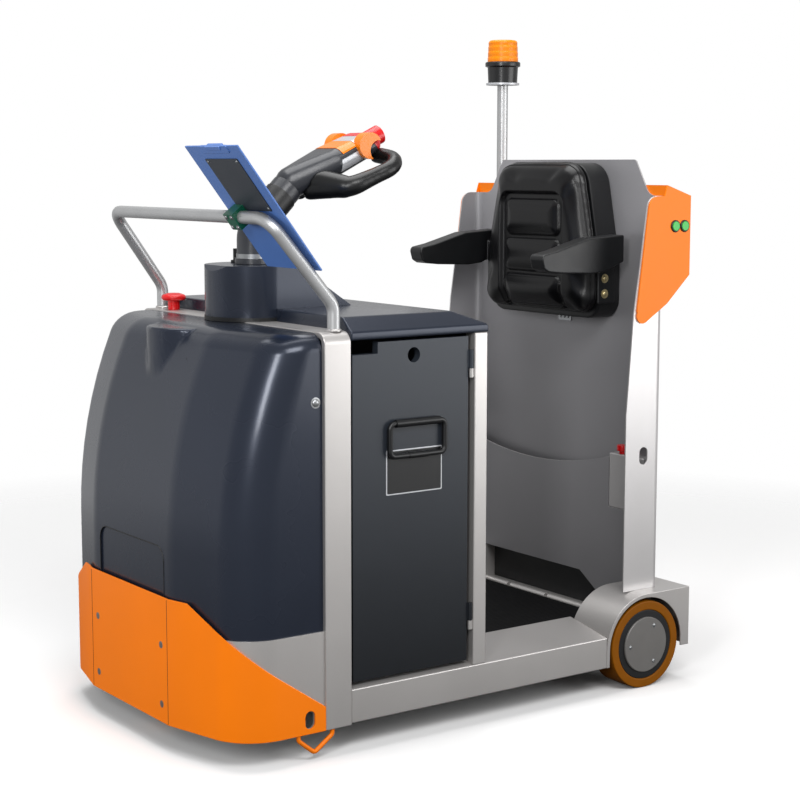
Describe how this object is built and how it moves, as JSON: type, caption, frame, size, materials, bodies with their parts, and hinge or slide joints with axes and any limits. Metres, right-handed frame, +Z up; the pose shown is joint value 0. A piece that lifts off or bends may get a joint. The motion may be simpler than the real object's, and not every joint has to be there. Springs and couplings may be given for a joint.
{
  "type": "stand-on electric tow tractor",
  "caption": "Stand-on electric tow tractor with a moulded hood, tiller steering, padded backrest with armrests, beacon and rear tow coupling.",
  "frame": {"origin": "on the floor under the middle of the machine's length and width", "axes": "+X forward over the hood, +Y to the driver's left, +Z up"},
  "size_m": [1.353, 0.818, 1.561],
  "materials": {
    "frame_silver": "satin silver paint",
    "dark_paint": "satin dark grey paint",
    "slate_gloss": "glossy slate moulding",
    "orange_paint": "satin orange paint",
    "black_plastic": "fine grained black",
    "black_rubber": "matte",
    "black_leather": "smooth padded cover",
    "black_steel": "black satin paint",
    "steel": "brushed",
    "cast_hub": "grey painted casting",
    "amber_tyre": "amber polyurethane tread",
    "battery_case": "plain case",
    "amber_lens": "translucent amber",
    "red_plastic": "smooth red",
    "green_plastic": "smooth green",
    "blue_plastic": "fine grained blue",
    "orange_plastic": "smooth orange"
  },
  "bodies": {
    "chassis": {"chassis_frame": "frame_silver", "portal": "frame_silver", "battery_posts": "frame_silver", "bulkhead": "dark_paint", "front_skirt": "frame_silver", "bumper": "orange_paint", "hood": "slate_gloss", "console": "slate_gloss", "battery_cover": "slate_gloss", "battery": "battery_case", "platform_mat": "black_rubber", "platform_hinge_rod": "steel", "rear_wall": "frame_silver", "storage_pocket": "frame_silver", "kick_panel": "black_plastic", "rear_fairing": "orange_paint", "wheel_arches": "frame_silver", "rear_axles": "steel", "tow_coupling": "black_steel", "tow_pin": "steel", "backrest_shell": "black_plastic", "backrest_cushion": "black_leather", "armrests": "black_plastic", "beacon_pole": "frame_silver", "beacon_base": "black_plastic", "beacon_lens": "amber_lens", "handrail": "steel", "emergency_stop": "red_plastic", "document_board": "blue_plastic", "board_clamp": "green_plastic", "key_switch": "black_plastic", "jog_buttons": "green_plastic", "rear_switch_box": "frame_silver", "rear_stop_button": "red_plastic", "front_hooks": "orange_paint", "door_hinge_pins": "steel", "drive_mount": "black_steel"},
    "tiller": {"tiller_column": "black_plastic", "tiller_head": "slate_gloss", "tiller_grips": "black_rubber", "tiller_throttle": "orange_plastic", "tiller_stop_button": "red_plastic"},
    "door_left": {"battery_door_left": "dark_paint", "door_bail_left": "black_steel"},
    "door_right": {"battery_door_right": "dark_paint", "door_bail_right": "black_steel"},
    "drive_unit": {"drive_unit": "black_steel"},
    "drive_wheel": {"drive_hub": "cast_hub", "drive_tyre": "amber_tyre"},
    "rear_wheel_left": {"rear_hub_left": "cast_hub", "rear_tyre_left": "amber_tyre"},
    "rear_wheel_right": {"rear_hub_right": "cast_hub", "rear_tyre_right": "amber_tyre"}
  },
  "joints": [
    {"name": "drive_turn", "type": "hinge", "parent": "chassis", "child": "drive_unit", "pos_m": [0.5285, 0, 0.275], "axis": [0, 0, 1], "range_deg": [-70, 70]},
    {"name": "tiller_turn", "type": "hinge", "parent": "chassis", "child": "tiller", "pos_m": [0.3525, 0, 1.018], "axis": [0, 0, 1], "range_deg": [-70, 70]},
    {"name": "drive_spin", "type": "hinge", "parent": "drive_unit", "child": "drive_wheel", "pos_m": [0.5285, 0, 0.115], "axis": [0, 1, 0], "continuous": true},
    {"name": "rear_left_spin", "type": "hinge", "parent": "chassis", "child": "rear_wheel_left", "pos_m": [-0.4835, 0.36, 0.105], "axis": [0, 1, 0], "continuous": true},
    {"name": "rear_right_spin", "type": "hinge", "parent": "chassis", "child": "rear_wheel_right", "pos_m": [-0.4835, -0.36, 0.105], "axis": [0, 1, 0], "continuous": true},
    {"name": "door_left_swing", "type": "hinge", "parent": "chassis", "child": "door_left", "pos_m": [0.0425, 0.395, 0.5], "axis": [0, 0, 1], "range_deg": [0, 110]},
    {"name": "door_right_swing", "type": "hinge", "parent": "chassis", "child": "door_right", "pos_m": [0.0425, -0.395, 0.5], "axis": [0, 0, -1], "range_deg": [0, 110]}
  ],
  "couplings": [
    {"joint": "tiller_turn", "follows": "drive_turn", "ratio": 1}
  ]
}
